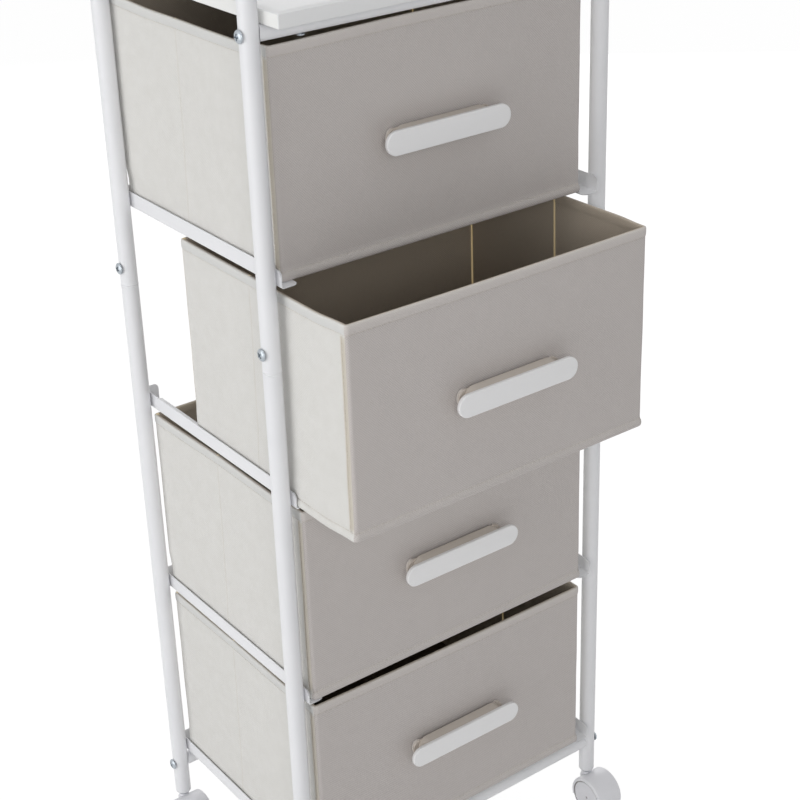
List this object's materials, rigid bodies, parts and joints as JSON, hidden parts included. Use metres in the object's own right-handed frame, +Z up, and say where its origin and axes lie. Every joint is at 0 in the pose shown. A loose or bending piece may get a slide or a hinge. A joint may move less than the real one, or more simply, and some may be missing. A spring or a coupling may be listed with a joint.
{
  "type": "rolling drawer cart",
  "caption": "Rolling drawer cart: a white tube frame on swivel casters with a top board and fabric drawers with bridge handles that slide on angle rails.",
  "frame": {"origin": "on the floor, under the middle of the box round the cart as it stands, with the second drawer pulled part of the way out", "axes": "+Z up, -Y out of the drawers' fronts, +X to the right of someone who stands in front of the cart and faces it"},
  "size_m": [0.4618, 0.4472, 1.2349],
  "materials": {
    "coated_steel": "satin white powder coat",
    "board": "white foil on fibreboard",
    "zinc": "bright zinc",
    "drawer_fabric": "non-woven fabric, taupe front and cream-grey sides",
    "base_card": "fabric-faced card",
    "handle_plastic": "satin white moulding",
    "caster_plastic": "satin white moulding",
    "wheel_plastic": "satin white moulding"
  },
  "bodies": {
    "frame": {"lower_post_front_left": "coated_steel", "lower_post_front_right": "coated_steel", "lower_post_rear_left": "coated_steel", "lower_post_rear_right": "coated_steel", "upper_hoop_left": "coated_steel", "upper_hoop_right": "coated_steel", "cross_tube_top_front": "coated_steel", "cross_tube_top_rear": "coated_steel", "cross_tube_bottom_front": "coated_steel", "cross_tube_bottom_rear": "coated_steel", "rail_1_left": "coated_steel", "rail_1_right": "coated_steel", "rail_2_left": "coated_steel", "rail_2_right": "coated_steel", "rail_3_left": "coated_steel", "rail_3_right": "coated_steel", "rail_4_left": "coated_steel", "rail_4_right": "coated_steel", "top_board": "board", "joint_screw_front_left": "zinc", "joint_screw_front_right": "zinc", "joint_screw_rear_left": "zinc", "joint_screw_rear_right": "zinc", "top_tube_screw_front_left": "zinc", "top_tube_screw_front_right": "zinc", "top_tube_screw_rear_left": "zinc", "top_tube_screw_rear_right": "zinc", "bottom_tube_screw_front_left": "zinc", "bottom_tube_screw_front_right": "zinc", "bottom_tube_screw_rear_left": "zinc", "bottom_tube_screw_rear_right": "zinc", "board_screw_front_left": "zinc", "board_screw_front_right": "zinc", "board_screw_rear_left": "zinc", "board_screw_rear_right": "zinc", "caster_stem_front_left": "zinc", "caster_stem_front_right": "zinc", "caster_stem_rear_left": "zinc", "caster_stem_rear_right": "zinc"},
    "drawer_1": {"drawer_1_box": "drawer_fabric", "drawer_1_base_insert": "base_card", "drawer_1_handle": "handle_plastic"},
    "drawer_2": {"drawer_2_box": "drawer_fabric", "drawer_2_base_insert": "base_card", "drawer_2_handle": "handle_plastic"},
    "drawer_3": {"drawer_3_box": "drawer_fabric", "drawer_3_base_insert": "base_card", "drawer_3_handle": "handle_plastic"},
    "drawer_4": {"drawer_4_box": "drawer_fabric", "drawer_4_base_insert": "base_card", "drawer_4_handle": "handle_plastic"},
    "caster_front_left": {"caster_hood_front_left": "caster_plastic"},
    "wheels_front_left": {"caster_wheels_front_left": "wheel_plastic"},
    "caster_front_right": {"caster_hood_front_right": "caster_plastic"},
    "wheels_front_right": {"caster_wheels_front_right": "wheel_plastic"},
    "caster_rear_left": {"caster_hood_rear_left": "caster_plastic"},
    "wheels_rear_left": {"caster_wheels_rear_left": "wheel_plastic"},
    "caster_rear_right": {"caster_hood_rear_right": "caster_plastic"},
    "wheels_rear_right": {"caster_wheels_rear_right": "wheel_plastic"}
  },
  "joints": [
    {"name": "drawer_1_slide", "type": "slide", "parent": "frame", "child": "drawer_1", "axis": [0, -1, 0], "range_m": [0, 0.22]},
    {"name": "drawer_2_slide", "type": "slide", "parent": "frame", "child": "drawer_2", "axis": [0, -1, 0], "range_m": [-0.104, 0.116]},
    {"name": "drawer_3_slide", "type": "slide", "parent": "frame", "child": "drawer_3", "axis": [0, -1, 0], "range_m": [-0.009, 0.211]},
    {"name": "drawer_4_slide", "type": "slide", "parent": "frame", "child": "drawer_4", "axis": [0, -1, 0], "range_m": [-0.0085, 0.2115]},
    {"name": "caster_swivel_front_left", "type": "hinge", "parent": "frame", "child": "caster_front_left", "pos_m": [-0.21265, -0.09635, 0.04], "axis": [0, 0, 1], "continuous": true},
    {"name": "wheel_spin_front_left", "type": "hinge", "parent": "caster_front_left", "child": "wheels_front_left", "pos_m": [-0.21265, -0.11635, 0.0245], "axis": [1, 0, 0], "continuous": true},
    {"name": "caster_swivel_front_right", "type": "hinge", "parent": "frame", "child": "caster_front_right", "pos_m": [0.21265, -0.09635, 0.04], "axis": [0, 0, 1], "continuous": true},
    {"name": "wheel_spin_front_right", "type": "hinge", "parent": "caster_front_right", "child": "wheels_front_right", "pos_m": [0.21265, -0.11635, 0.0245], "axis": [1, 0, 0], "continuous": true},
    {"name": "caster_swivel_rear_left", "type": "hinge", "parent": "frame", "child": "caster_rear_left", "pos_m": [-0.21265, 0.19165, 0.04], "axis": [0, 0, 1], "continuous": true},
    {"name": "wheel_spin_rear_left", "type": "hinge", "parent": "caster_rear_left", "child": "wheels_rear_left", "pos_m": [-0.21265, 0.17165, 0.0245], "axis": [1, 0, 0], "continuous": true},
    {"name": "caster_swivel_rear_right", "type": "hinge", "parent": "frame", "child": "caster_rear_right", "pos_m": [0.21265, 0.19165, 0.04], "axis": [0, 0, 1], "continuous": true},
    {"name": "wheel_spin_rear_right", "type": "hinge", "parent": "caster_rear_right", "child": "wheels_rear_right", "pos_m": [0.21265, 0.17165, 0.0245], "axis": [1, 0, 0], "continuous": true}
  ]
}
